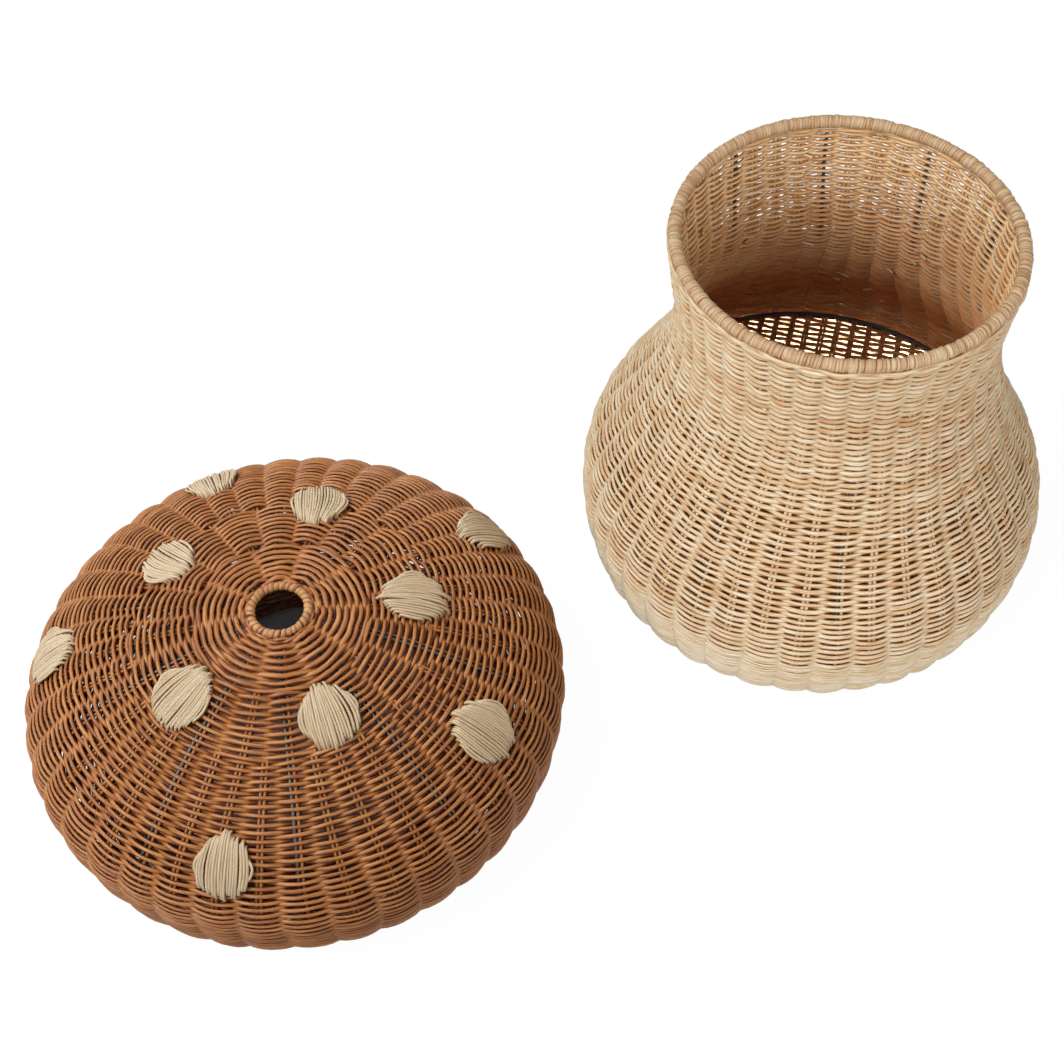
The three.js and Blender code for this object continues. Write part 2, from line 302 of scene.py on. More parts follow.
def shade_shares(net, around):
    """How much painted shade a strand gets where it turns towards its neighbours, on the side that
    faces into the basket, and where it lies in the shade behind a stake."""
    turned = net.maths("MULTIPLY", around, full_turn)
    faces = net.maths("COSINE", turned)
    towards = net.maths("COSINE", net.maths("ADD", turned, edge_shade_turn))
    edge = net.ranged(net.maths("ABSOLUTE", towards), none=0.65, full=0.08)
    inside = net.ranged(faces, none=-0.2, full=-0.8)
    behind = net.add("Attribute", attribute_name="behind").outputs["Fac"]
    depth = net.maths("SUBTRACT", net.maths("MULTIPLY", behind, 2.0), 1.0)
    # Halfway between two stakes the rows cross and touch, so no painted shade goes on their edges
    # there
    apart = net.ranged(net.maths("ABSOLUTE", depth), none=-0.1, full=0.6)
    edge = net.maths("MULTIPLY", edge, apart)
    hidden = net.ranged(net.maths("MULTIPLY", depth, faces), none=0.1, full=0.7)
    return edge, inside, hidden


def rattan(
    name,
    tones,
    streak_dark,
    streak_depth,
    edge,
    inside,
    hidden,
    roughness,
    gloss,
    inside_lit_top=None,
):
    """Round rattan core. The strand map's U runs along a strand in metres, and V is the strand's
    number and then the way round it. The colours for a strand's edges, for its faces inside the
    basket and for where it lies behind a stake are painted shade, and near the mouth a lighter
    inside colour, a painted light, takes the place of the inside one."""
    material = bpy.data.materials.new(name)
    net = Net(material)
    strand_map = net.add("UVMap", uv_map="strand").outputs["UV"]
    parts = net.add("SeparateXYZ", {0: strand_map}).outputs
    along = parts["X"]
    number = net.maths("FLOOR", parts["Y"])
    around = net.maths("FRACT", parts["Y"])

    # Tone of the strand, with dark fibres that run along it
    fibre_axes = ((along, fibre_changes), (around, fibres_round), (number, fibre_apart))
    fibre = net.noise(net.stretched(*fibre_axes), 1.0, detail=3.0, rough=0.6)
    dark = net.ranged(fibre, none=0.34, full=0.56, low=1.0, high=0.0)
    streaks = net.maths("MULTIPLY", dark, streak_depth)
    colour = strand_tone(net, along, number, tones)
    colour = net.mixed(streaks, colour, opaque(streak_dark), "MULTIPLY")

    # Painted shade: browner at its edges, inside the basket and behind the stakes
    edge_shade_share, inside_shade_share, hidden_shade_share = shade_shares(net, around)
    inside = opaque(inside)
    if inside_lit_top:
        # Inside the body: painted light near the mouth, fading to painted shade lower down, where
        # the painted shade behind the stakes also grows from half to full
        height = net.add("SeparateXYZ", {0: net.object_place()}).outputs["Z"]
        low = net.ranged(height, lit_above, shaded_below)
        inside = net.mixed(low, opaque(inside_lit_top), inside)
        less = net.maths("ADD", net.maths("MULTIPLY", low, 0.5), 0.5)
        hidden_shade_share = net.maths("MULTIPLY", hidden_shade_share, less)
    colour = net.mixed(edge_shade_share, colour, opaque(edge), "MULTIPLY")
    colour = net.mixed(inside_shade_share, colour, inside, "MULTIPLY")
    colour = net.mixed(hidden_shade_share, colour, opaque(hidden), "MULTIPLY")
    finish = {
        "Base Color": colour,
        "Specular IOR Level": gloss,
        "Roughness": net.ranged(fibre, 0.0, 1.0, roughness - 0.07, roughness + 0.12),
        "Normal": net.bump(fibre, strength=0.35, distance=0.0004),
    }
    net.feed(net.nodes["Principled BSDF"], finish)
    return material


def coated_wire(name, colour, roughness, metal):
    """Drawn steel wire with a thin coat, a little mottled."""
    material = bpy.data.materials.new(name)
    net = Net(material)
    mottle = net.noise(net.object_place(), 260.0, detail=2.0)
    dull = [part * 0.6 for part in colour]
    finish = {
        "Base Color": net.ramp(mottle, (0.35, 0.65), (dull, colour)),
        "Roughness": net.ranged(mottle, 0.0, 1.0, roughness - 0.08, roughness + 0.12),
        "Metallic": metal,
        "Normal": net.bump(mottle, strength=0.2, distance=0.0002),
    }
    net.feed(net.nodes["Principled BSDF"], finish)
    return material


# In each rattan below, the colours for edges, inner faces and places behind the stakes are painted
# shade
straw = rattan(
    "natural_rattan",
    tones=[
        (0.405, 0.247, 0.117),
        (0.493, 0.372, 0.226),
        (0.545, 0.466, 0.334),
        (0.57, 0.53, 0.416),
        (0.582, 0.57, 0.482),
    ],
    streak_dark=(0.76, 0.48, 0.26),
    streak_depth=0.95,
    edge=(0.96, 0.58, 0.29),
    inside=(0.88, 0.44, 0.235),
    # a painted light on the inside near the mouth
    inside_lit_top=(1.18, 1.08, 0.95),
    hidden=(0.62, 0.32, 0.13),
    roughness=0.5,
    gloss=0.13,
)
# A paler copy of natural rattan for the foot: painted light
lit_foot_straw = rattan(
    "lit_foot_rattan",
    tones=[
        (0.44, 0.31, 0.17),
        (0.52, 0.43, 0.29),
        (0.57, 0.51, 0.395),
        (0.595, 0.56, 0.465),
        (0.605, 0.585, 0.505),
    ],
    streak_dark=(0.8, 0.55, 0.34),
    streak_depth=0.9,
    edge=(0.9, 0.63, 0.4),
    inside=(0.82, 0.44, 0.245),
    hidden=(0.62, 0.38, 0.2),
    roughness=0.5,
    gloss=0.13,
)
rim_straw = rattan(
    "rim_rattan",
    tones=[
        (0.3, 0.19, 0.1),
        (0.395, 0.275, 0.163),
        (0.462, 0.352, 0.23),
        (0.512, 0.425, 0.302),
    ],
    streak_dark=(0.62, 0.4, 0.24),
    streak_depth=0.85,
    edge=(0.66, 0.44, 0.28),
    inside=(0.8, 0.6, 0.45),
    hidden=(0.8, 0.65, 0.5),
    roughness=0.5,
    gloss=0.22,
)
dyed = rattan(
    "brown_rattan",
    tones=[
        (0.22, 0.067, 0.014),
        (0.315, 0.11, 0.024),
        (0.41, 0.163, 0.042),
        (0.51, 0.234, 0.07),
        (0.61, 0.335, 0.13),
    ],
    streak_dark=(0.5, 0.32, 0.2),
    streak_depth=0.95,
    edge=(0.46, 0.29, 0.18),
    inside=(0.6, 0.45, 0.35),
    hidden=(0.4, 0.24, 0.15),
    roughness=0.38,
    gloss=0.44,
)
ring_rattan = rattan(
    "ring_rattan",
    tones=[
        (0.37, 0.17, 0.06),
        (0.47, 0.235, 0.095),
        (0.54, 0.3, 0.135),
        (0.6, 0.37, 0.19),
    ],
    streak_dark=(0.5, 0.32, 0.2),
    streak_depth=0.8,
    edge=(0.56, 0.37, 0.24),
    inside=(0.6, 0.45, 0.35),
    hidden=(0.8, 0.65, 0.5),
    roughness=0.4,
    gloss=0.36,
)
pale = rattan(
    "pale_rattan",
    tones=[
        (0.46, 0.37, 0.24),
        (0.55, 0.46, 0.325),
        (0.61, 0.525, 0.385),
        (0.67, 0.59, 0.45),
    ],
    streak_dark=(0.74, 0.56, 0.4),
    streak_depth=0.8,
    edge=(0.7, 0.54, 0.39),
    inside=(0.85, 0.7, 0.55),
    hidden=(0.8, 0.65, 0.5),
    roughness=0.5,
    gloss=0.24,
)
# Natural rattan made darker brown for the floor of the body, as painted shade
floor_shade_straw = rattan(
    "floor_shade_rattan",
    tones=[
        (0.27, 0.105, 0.038),
        (0.36, 0.155, 0.058),
        (0.45, 0.205, 0.08),
        (0.54, 0.265, 0.11),
    ],
    streak_dark=(0.5, 0.36, 0.25),
    streak_depth=0.7,
    edge=(0.7, 0.5, 0.4),
    inside=(0.8, 0.62, 0.5),
    hidden=(0.8, 0.65, 0.5),
    roughness=0.6,
    gloss=0.2,
)
dark_wire = coated_wire("dark_wire", (0.022, 0.017, 0.014), roughness=0.55, metal=0.0)
grey_wire = coated_wire("grey_wire", (0.1, 0.115, 0.122), roughness=0.34, metal=0.7)
lid_wire = coated_wire("lid_wire", (0.09, 0.094, 0.092), roughness=0.36, metal=0.85)


# Outlines of the two halves, followed by the tops of the strands
def bezier(points, count=300):
    points = np.array(points, float)
    share = np.linspace(0.0, 1.0, count)[:, None]
    order = len(points) - 1
    total = np.zeros((count, 2))
    for i, point in enumerate(points):
        total += math.comb(order, i) * (1.0 - share) ** (order - i) * share**i * point
    return total


class Outline:
    """A chain of curves in radius and height: how long it is, and which way is outwards."""

    def __init__(self, curves, outward):
        line = np.vstack([bezier(curves[0])] + [bezier(curve)[1:] for curve in curves[1:]])
        steps = np.linalg.norm(np.diff(line, axis=0), axis=1)
        ahead = np.gradient(line, axis=0)
        ahead /= np.linalg.norm(ahead, axis=1)[:, None]
        self.arc = np.concatenate([[0.0], np.cumsum(steps)])
        self.length = self.arc[-1]
        self.radius, self.height = line[:, 0], line[:, 1]
        self.outward = outward
        self.side_r = outward * ahead[:, 1]
        self.side_z = -outward * ahead[:, 0]

    def at(self, arc):
        """Radius, height and outward direction. Past either end the line goes straight on."""
        known = (self.radius, self.height, self.side_r, self.side_z)
        radius, height, side_r, side_z = (np.interp(arc, self.arc, values) for values in known)
        beyond = self.outward * (np.asarray(arc) - np.clip(arc, 0.0, self.length))
        return radius - beyond * side_z, height + beyond * side_r, side_r, side_z

    def arc_at_height(self, height):
        return float(np.interp(height, self.height, self.arc))


body_curves = [
    [(0.1725, 0.0), (0.1812, 0.026), (0.1812, 0.050)],
    [(0.1812, 0.050), (0.1812, 0.064), (0.1775, 0.085), (0.1703, 0.0997)],
    [(0.1703, 0.0998), (0.1527, 0.1366), (0.1174, 0.1787), (0.1174, 0.2500)],
    [(0.1174, 0.250), (0.119, 0.268), (0.124, 0.3101)],
]
dome_curves = [
    [(0.0244, 0.1605), (0.0894, 0.15075), (0.195, 0.1204), (0.195, 0.0654)],
    [(0.195, 0.0654), (0.195, 0.0354), (0.188, 0.0125), (0.174, 0.0125)],
]
body_outline = Outline(body_curves, 1.0)
dome_outline = Outline(dome_curves, -1.0)


# Strands
section_sides = 6
# Strand numbers, which a strand's tone follows, start here for each kind but the rows and stakes
winding_numbers = 50000
end_numbers = 60000
floor_numbers = 70000
stitch_numbers = 90000
# How far behind the stakes the stakes and the loose ends count, for the painted shade put on them
stake_behind = 0.35
end_behind = 0.3
# The strand map leaves a little free beside each number, so that none reads its neighbour
map_margin = 0.02
map_width = 0.96


def ripple(chance, rows, angle, waves, size):
    """A gentle random wave for each row of a closed ring."""
    total = np.zeros((rows, len(angle)))
    for wave in waves:
        height = chance.normal(0.0, 1.0, (rows, 1))
        start = chance.uniform(0.0, full_turn, (rows, 1))
        total += height * np.cos(wave * angle[None, :] + start)
    return total * size / math.sqrt(len(waves))


def alternating(count):
    """Front and back by turns, as one row after another passes a stake."""
    return np.where(np.arange(count) % 2 == 0, 1.0, -1.0)


def strand_rings(centres, outward, half_depth, half_height, closed):
    """A six-sided ring of vertices round each point of each strand."""
    if closed:
        ahead = np.roll(centres, -1, axis=1) - np.roll(centres, 1, axis=1)
    else:
        ahead = np.gradient(centres, axis=1)
    ahead /= np.linalg.norm(ahead, axis=2, keepdims=True) + 1e-12
    across = np.cross(ahead, outward)
    across /= np.linalg.norm(across, axis=2, keepdims=True) + 1e-12
    lifted = np.cross(across, ahead)
    turn = (np.arange(section_sides) * full_turn / section_sides)[:, None]
    size = centres.shape[:2]
    depth = np.broadcast_to(half_depth, size)[:, :, None, None]
    height = np.broadcast_to(half_height, size)[:, :, None, None]
    rings = centres[:, :, None, :] + depth * np.cos(turn) * lifted[:, :, None, :]
    rings = rings + height * np.sin(turn) * across[:, :, None, :]
    return rings.reshape(-1, 3)


def strand_quads(count, points, closed):
    """The faces between neighbouring rings, and two faces over each open end."""
    here = np.arange(points if closed else points - 1)[None, :, None]
    side = np.arange(section_sides)[None, None, :]
    first = np.arange(count)[:, None, None] * points * section_sides
    near = first + here * section_sides
    far = first + (here + 1) % points * section_sides
    beside = (side + 1) % section_sides
    corners = np.broadcast_arrays(near + side, near + beside, far + beside, far + side)
    quads = np.stack(corners, axis=-1).reshape(-1, 4)
    if closed:
        return quads
    starts = first[:, :, 0]
    ends = starts + (points - 1) * section_sides
    caps = [starts + np.array(face) for face in ((3, 2, 1, 0), (5, 4, 3, 0))]
    caps += [ends + np.array(face) for face in ((0, 1, 2, 3), (0, 3, 4, 5))]
    return np.vstack([quads, *caps])


def strand_corners(centres, numbers, closed):
    """The strand map of each face: metres along the strand, and its number and the way round it."""
    count, points, _ = centres.shape
    last = points if closed else points - 1
    round_again = np.concatenate([centres, centres[:, :1]], axis=1)
    step = np.linalg.norm(np.diff(round_again, axis=1), axis=2)
    length = np.concatenate([np.zeros((count, 1)), np.cumsum(step, axis=1)], axis=1)
    numbers = np.broadcast_to(numbers, (count, points))[:, :last, None]
    side = np.arange(section_sides)
    low = numbers + (map_margin + map_width * side / section_sides)
    high = numbers + (map_margin + map_width * (side + 1) / section_sides)
    start = np.broadcast_to(length[:, :last, None], low.shape)
    end = np.broadcast_to(length[:, 1 : last + 1, None], low.shape)
    corners = ((start, low), (start, high), (end, high), (end, low))
    corners = [np.stack(corner, axis=-1) for corner in corners]
    strand_map = np.stack(corners, axis=-2).reshape(-1, 4, 2)
    if closed:
        return strand_map
    cap = np.zeros((count, 4, 2))
    cap[:, :, 1] = numbers[:, :1, 0] + 0.5
    return np.concatenate([strand_map] + [cap] * 4)


def strand_block(centres, outward, half_depth, half_height, closed, numbers, behind=0.0):
    """Strands through rows of points: vertices, faces, strand map, and how far each vertex lies
    behind the stakes, from 0 in front to 1 behind."""
    count, points, _ = centres.shape
    vertices = strand_rings(centres, outward, half_depth, half_height, closed)
    quads = strand_quads(count, points, closed)
    strand_map = strand_corners(centres, numbers, closed)
    hidden = np.repeat(np.broadcast_to(behind, (count, points)).ravel(), section_sides)
    return vertices, quads, strand_map, hidden


def single_strand(centres, outward, half_depth, half_height, number):
    """One open strand through its own points."""
    numbers = np.array([[number]])
    return strand_block(centres[None], outward[None], half_depth, half_height, False, numbers)


basket_pieces = []


def strands_piece(name, blocks, material, body, nodes=()):
    """One mesh from blocks of strands, riding on a body and standing for its CAD nodes."""
    vertices = np.vstack([block[0] for block in blocks])
    shift = np.cumsum([0] + [len(block[0]) for block in blocks[:-1]])
    quads = np.vstack([block[1] + start for block, start in zip(blocks, shift)])
    strand_map = np.concatenate([block[2] for block in blocks])
    hidden = np.concatenate([block[3] for block in blocks])
    mesh = bpy.data.meshes.new(name)
    mesh.from_pydata(vertices, [], quads)
    layer = mesh.uv_layers.new(name="strand")
    layer.data.foreach_set("uv", strand_map.astype(np.float32).ravel())
    behind = mesh.attributes.new("behind", "FLOAT", "POINT")
    behind.data.foreach_set("value", hidden.astype(np.float32))
    mesh.polygons.foreach_set("use_smooth", np.ones(len(mesh.polygons), bool))
    mesh.update()
    piece = bpy.data.objects.new(name, mesh)
    bpy.context.scene.collection.objects.link(piece)
    mesh.materials.append(material)
    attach(piece, body)
    if body == "basket":
        basket_pieces.append(piece)
    if nodes:
        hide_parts(*nodes)
    return piece


def numbered(prefix, count):
    """The names of nodes that are counted from 01."""
    return [f"{prefix}{i:02d}" for i in range(1, count + 1)]


# How far the hand lets stake columns drift sideways, and rows up and down
column_drift = math.radians(0.32)
row_drift = 0.0007
# Unevenness from one point of a weaver to the next, and a weaver's depth against its thickness
grain = 0.00007
flatness = 0.92
# How often a row's cane ends on one round, on average, and the numbers kept for each row
joins_each_round = 1.6
numbers_each_row = 7
# Which way the body's neck sways, at what height, and how far up and down from there
sway_way = (0.894, -0.449)
sway_height = 0.205
sway_reach = 0.045


class Weave:
    """The woven sheet of one half: its outline, its place, and the hand's small drifts. Swing is
    how far a weaver leaves the middle of the sheet, which lies sheet_depth under the outline."""

    def __init__(self, outline, axis_x, turn, seed, swing=0.00262, sheet_depth=0.0043, sway=0.0):
        self.outline = outline
        self.axis_x = axis_x
        self.turn = turn
        self.chance = np.random.default_rng(seed)
        self.phases = self.chance.uniform(0.0, full_turn, 12)
        self.first_number = 0
        self.swing = swing
        self.sheet_depth = sheet_depth
        self.sway = sway

    def lean(self, angle, arc):
        """How far the stake columns drift sideways, as an angle."""
        p = self.phases
        wave = np.cos(3 * angle + 31.0 * arc + p[0]) + np.cos(7 * angle - 24.0 * arc + p[1])
        wave = wave + 0.8 * np.cos(13 * angle + 44.0 * arc + p[2])
        return column_drift * wave

    def dip(self, angle, arc):
        """How far the rows drift up and down, apart from the first and last."""
        p = self.phases
        wave = np.cos(2 * angle + 60.0 * arc + p[3]) + 0.8 * np.cos(5 * angle - 95.0 * arc + p[4])
        wave = wave + 0.5 * np.cos(11 * angle + 130.0 * arc + p[5])
        calm = np.clip(np.minimum(arc, self.outline.length - arc) / 0.02, 0.0, 1.0)
        return row_drift * calm * wave

    def place(self, angle, arc, lift):
        """Points over the sheet, and the outward direction there."""
        radius, height, side_r, side_z = self.outline.at(arc)
        turned = self.turn + angle + self.lean(angle, arc)
        reach = radius + lift * side_r
        aside = self.sway * np.exp(-(((height - sway_height) / sway_reach) ** 2))
        x = self.axis_x + sway_way[0] * aside + reach * np.cos(turned)
        y = sway_way[1] * aside + reach * np.sin(turned)
        points = np.stack(np.broadcast_arrays(x, y, height + lift * side_z), axis=-1)
        outward = (side_r * np.cos(turned), side_r * np.sin(turned), side_z + 0.0 * turned)
        return points, np.stack(np.broadcast_arrays(*outward), axis=-1)

    def rows(
        self,
        arcs,
        parities,
        columns=stake_columns,
        points_each=6,
        thickness=0.00158,
        wander=0.0003,
        swing=None,
        square=0.75,
        depth=None,
        tall=(1.15, 1.1, 1.1),
    ):
        """Rows of weavers that pass in front of one stake column and behind the next. Tall is a
        strand's height against its thickness at a crossing, over a stake and behind one."""
        chance = self.chance
        arcs = np.asarray(arcs, float)
        count = len(arcs)
        points = columns * points_each
        angle = np.arange(points) * full_turn / points
        swing = self.swing if swing is None else swing
        depth = self.sheet_depth if depth is None else depth
        each_row = (np.broadcast_to(value, count)[:, None] for value in (swing, thickness, square))
        swing, thickness, square = each_row

        # The path of each row
        arc = arcs[:, None] + self.dip(angle[None, :], arcs[:, None])
        arc = arc + ripple(chance, count, angle, (4, 9, 17, 29), wander)
        strength = 1.0 + ripple(chance, count, angle, (3, 8, 15), 0.07)
        wave = np.cos(columns / 2 * angle)
        wave = np.sign(wave)[None, :] * np.abs(wave)[None, :] ** square
        parities = np.asarray(parities, float)[:, None]
        side = parities * wave
        lift = -depth + parities * swing * strength * wave
        arc = arc + chance.normal(0.0, grain, (count, points))
        lift = lift + ripple(chance, count, angle, (6, 21), 0.00012)
        lift = lift + chance.normal(0.0, grain, (count, points))
        centres, outward = self.place(angle[None, :], arc, lift)

        # Its thickness along the way
        half = thickness * (1.0 + 0.07 * chance.normal(0.0, 1.0, (count, 1)))
        half = half * (1.0 + ripple(chance, count, angle, (5, 12), 0.05))
        numbers = self.strand_numbers(count, points)
        crossing, over, under = tall
        front = np.clip(side, 0.0, 1.0)
        back = np.clip(-side, 0.0, 1.0)
        height = (crossing + (over - crossing) * front + (under - crossing) * back) * half
        behind = 0.5 - 0.5 * side
        return strand_block(centres, outward, flatness * half, height, True, numbers, behind)

    def strand_numbers(self, count, points):
        """A weaver's cane ends here and there on its way round, and another goes on from there."""
        changes = self.chance.random((count, points)) < joins_each_round / points
        numbers = np.cumsum(changes, axis=1)
        first = self.first_number + np.arange(count)[:, None] * numbers_each_row
        self.first_number += numbers_each_row * count
        return numbers + first

    def stakes(self, columns, arcs, side, half, lift=None):
        """Canes or wires that run up the sheet beside each other, through its middle. Side is the
        step sideways that lays the two of a pair next to each other."""
        arcs = np.asarray(arcs, float)[None, :]
        angle = np.asarray(columns, float)[:, None] * full_turn / stake_columns
        lift = -self.sheet_depth if lift is None else lift
        points, outward = self.place(angle, arcs, lift)
        turned = self.turn + angle + self.lean(angle, arcs)
        sideways = np.stack([-np.sin(turned), np.cos(turned), 0.0 * turned], axis=-1)
        wobble = 0.00012 * np.cos(60.0 * arcs + 5.0 * angle)
        points = points + (side + wobble)[..., None] * sideways
        numbers = self.first_number + np.arange(len(angle))[:, None]
        self.first_number += len(angle)
        return strand_block(points, outward, half, half, False, numbers, stake_behind)


# Body
body = Weave(body_outline, body_x, body_turn, seed=11, sway=0.0026)
foot_top = body_outline.arc_at_height(0.0515)
waist = body_outline.arc_at_height(0.170)
mouth = body_outline.length
rim_radius = 0.1181
rim_height = 0.3152
floor_height = 0.0620
all_rows = np.arange(foot_top + 0.0008, mouth - 0.0028, row_pitch)
row_parity = alternating(len(all_rows))


def foot_rows():
    """The foot's rows are beaten down close, so no slit shows between them."""
    arcs = np.arange(0.0013, foot_top, 0.0018)
    parity = alternating(len(arcs))
    return body.rows(arcs, parity, thickness=0.00138, wander=0.0001, swing=0.0024)


def body_rows(low, high):
    """Open rows in the belly, and flatter, closer ones towards the neck."""
    chosen = (all_rows >= low) & (all_rows < high)
    height = body_outline.at(all_rows[chosen])[1]
    belly_to_neck = [0.13, 0.2]
    over = np.interp(height, [*belly_to_neck, 0.29, 0.3], [1.06, 1.4, 1.4, 1.24])[:, None]
    under = np.interp(height, belly_to_neck, [1.1, 0.76])[:, None]
    crossing = np.interp(height, belly_to_neck, [1.12, 1.04])[:, None]
    return body.rows(
        all_rows[chosen],
        row_parity[chosen],
        thickness=0.00156,
        swing=np.interp(height, [0.1, 0.2], [0.0025, 0.0021]),
        square=np.interp(height, [0.1, 0.2], [0.75, 0.95]),
        tall=(crossing, over, under),
    )


def closing_rows():
    """The last weavers lie close under the rolled mouth, two outside and two inside."""
    arcs = mouth + np.array([-0.0018, 0.0002])
    outer = body.rows(arcs, [1.0, -1.0], thickness=0.0016, swing=0.0006, depth=0.0024)
    inner = body.rows(arcs - 0.0004, [1.0, -1.0], thickness=0.0016, swing=0.0006, depth=0.0064)
    return [outer, inner]


# How far out from the outline a loose end starts and stops, inside the wall and outside it
inner_ends = (-0.0062, -0.0094)
outer_ends = (-0.0032, -0.0012)
# Its shortest and greatest length, and half its depth and height
end_lengths = (0.007, 0.014)
end_halves = (0.0012, 0.0014)
wall_radius = 0.14


def cane_ends(low, high, lifts, count, seed):
    """Short ends that stand off the wall where one cane stops and the next goes on."""
    chance = np.random.default_rng(seed)
    share = np.linspace(0.0, 1.0, 7)[None, :]
    column = chance.integers(0, stake_columns, (count, 1)) + chance.uniform(-0.35, 0.35, (count, 1))
    length = chance.uniform(*end_lengths, (count, 1)) * np.sign(chance.normal(size=(count, 1)))
    angle = column * full_turn / stake_columns + share * length / wall_radius
    arc = chance.uniform(low, high, (count, 1)) + chance.normal(0.0, 0.0014, (count, 1)) * share
    lift = lifts[0] + (lifts[1] - lifts[0]) * share**1.6
    points, outward = body.place(angle, arc, lift + 0.0 * arc)
    numbers = end_numbers + 100 * seed + np.arange(count)[:, None]
    return strand_block(points, outward, *end_halves, False, numbers, end_behind)


wires = np.arange(0, stake_columns, wire_every)
canes = np.array([column for column in range(stake_columns) if column % wire_every != 0])
stake_arcs = np.linspace(0.002, mouth - 0.003, 56)
foot_weave = strands_piece(
    "foot_weave", [foot_rows()], lit_foot_straw, "basket", ["foot_skirt"]
)
strands_piece(
    "belly_weave",
    [
        body_rows(0.0, waist),
        cane_ends(foot_top, waist, inner_ends, count=26, seed=3),
        cane_ends(foot_top, waist, outer_ends, count=9, seed=4),
    ],
    straw,
    "basket",
    ["belly_wall"],
)
strands_piece(
    "neck_weave",
    [
        body_rows(waist, 1.0),
        *closing_rows(),
        cane_ends(waist, mouth - 0.008, inner_ends, count=34, seed=5),
        cane_ends(waist, mouth - 0.01, outer_ends, count=5, seed=6),
    ],
    straw,
    "basket",
    ["neck_wall"],
)
strands_piece(
    "body_stakes",
    [
        body.stakes(canes, stake_arcs, side=-0.00158, half=0.0014, lift=-0.0039),
        body.stakes(canes, stake_arcs, side=0.00158, half=0.0014, lift=-0.0039),
        body.stakes(wires, stake_arcs, side=0.00195, half=0.0013, lift=-0.0040),
    ],
    straw,
    "basket",
)
strands_piece(
    "body_uprights",
    [body.stakes(wires, stake_arcs, side=-0.00135, half=0.0015)],
    grey_wire,
    "basket",
    numbered("upright_", len(wires)),
)

# Lid
dome = Weave(dome_outline, lid_x, lid_turn, seed=23)
# Arc lengths from the hole: up to the first a row crosses ten stake columns, up to the second
# twenty, and beyond it all forty
few_until = 0.038
half_until = 0.085
shoulder_arc = 0.178
dome_rows = np.arange(0.0030, dome_outline.length - 0.0012, row_pitch)
dome_parity = alternating(len(dome_rows))


def lid_rows(low, high, columns=stake_columns, points_each=6, swing=None):
    """Rows of the dome between two arc lengths, thinner towards its edge."""
    chosen = (dome_rows >= low) & (dome_rows < high)
    arcs = dome_rows[chosen]
    if swing is None:
        swing = np.interp(arcs, [0.18, 0.235], [0.00262, 0.0021])
    over = np.interp(arcs, [0.03, 0.06], [1.15, 1.0])[:, None]
    return dome.rows(
        arcs,
        dome_parity[chosen],
        columns,
        points_each,
        thickness=np.interp(arcs, [0.03, 0.06, 0.17, 0.21], [0.0016, 0.0014, 0.0014, 0.0013]),
        swing=swing,
        tall=(1.18, over, over),
    )


def hole_rows():
    """Two close rows beside the ring of the finger hole."""
    arcs = [-0.0009, 0.0012]
    return dome.rows(arcs, [1.0, -1.0], 20, 7, thickness=0.0017, wander=0.0002, swing=0.0007)


strands_piece(
    "crown_weave",
    [
        hole_rows(),
        lid_rows(0.0, few_until, columns=10, points_each=14, swing=0.0023),
        lid_rows(few_until, half_until, columns=20, points_each=9, swing=0.0029),
        lid_rows(half_until, shoulder_arc),
    ],
    dyed,
    "lid",
    ["lid_crown"],
)
strands_piece(
    "shoulder_weave",
    [lid_rows(shoulder_arc, 1.0)],
    dyed,
    "lid",
    ["lid_shoulder"],
)


def lid_stakes(columns, start, side, half):
    """Near the hole they lie deeper, under the close rows there."""
    arcs = np.linspace(start, dome_outline.length - 0.001, 52)
    lift = -np.interp(arcs, [0.03, 0.065], [0.0062, 0.0043])[None, :]
    return dome.stakes(columns, arcs, side, half, lift)


every_column = np.arange(stake_columns)
second = every_column[(every_column % 2 == 0) & (every_column % wire_every != 0)]
third = every_column[every_column % 2 == 1]
lid_canes = [lid_stakes(wires, 0.0, side=0.0019, half=0.0012)]
for columns, start in ((second, few_until - 0.006), (third, half_until - 0.006)):
    for side in (-0.00142, 0.00142):
        lid_canes.append(lid_stakes(columns, start, side, half=0.00118))
strands_piece("lid_stakes", lid_canes, dyed, "lid")
strands_piece(
    "lid_ribs",
    [lid_stakes(wires, 0.0, side=-0.0013, half=0.0015)],
    lid_wire,
    "lid",
    numbered("lid_rib_", len(wires)),
)


# Strands wound round a hoop
def winding(
    axis_x, centre_radius, height, tube, turns, half_width, half_depth, seed, points_each, slack
):
    """A flat strand wound round a hoop, turn against turn, a little unevenly."""
    chance = np.random.default_rng(seed)
    starts = np.arange(turns) + slack * chance.normal(0.0, 1.0, turns)
    starts = np.append(starts, starts[0] + turns)
    step = np.arange(turns * points_each)
    turn_number = step // points_each
    share = (step % points_each) / points_each
    advance = starts[turn_number] + share * (starts[turn_number + 1] - starts[turn_number])
    angle = advance * full_turn / turns
    bend = full_turn * share
    swell = 1.0 + 0.06 * chance.normal(0.0, 1.0, turns)[turn_number]
    reach = centre_radius + tube * swell * np.cos(bend)
    rise = height + tube * swell * np.sin(bend)
    centres = np.stack([axis_x + reach * np.cos(angle), reach * np.sin(angle), rise], axis=-1)
    outward = (np.cos(bend) * np.cos(angle), np.cos(bend) * np.sin(angle), np.sin(bend))
    outward = np.stack(outward, axis=-1)
    widths = half_width * (1.0 + 0.15 * chance.normal(0.0, 1.0, turns))[turn_number]
    numbers = (winding_numbers + seed * 1000 + turn_number // 4)[None]
    return strand_block(centres[None], outward[None], half_depth, widths[None], True, numbers)


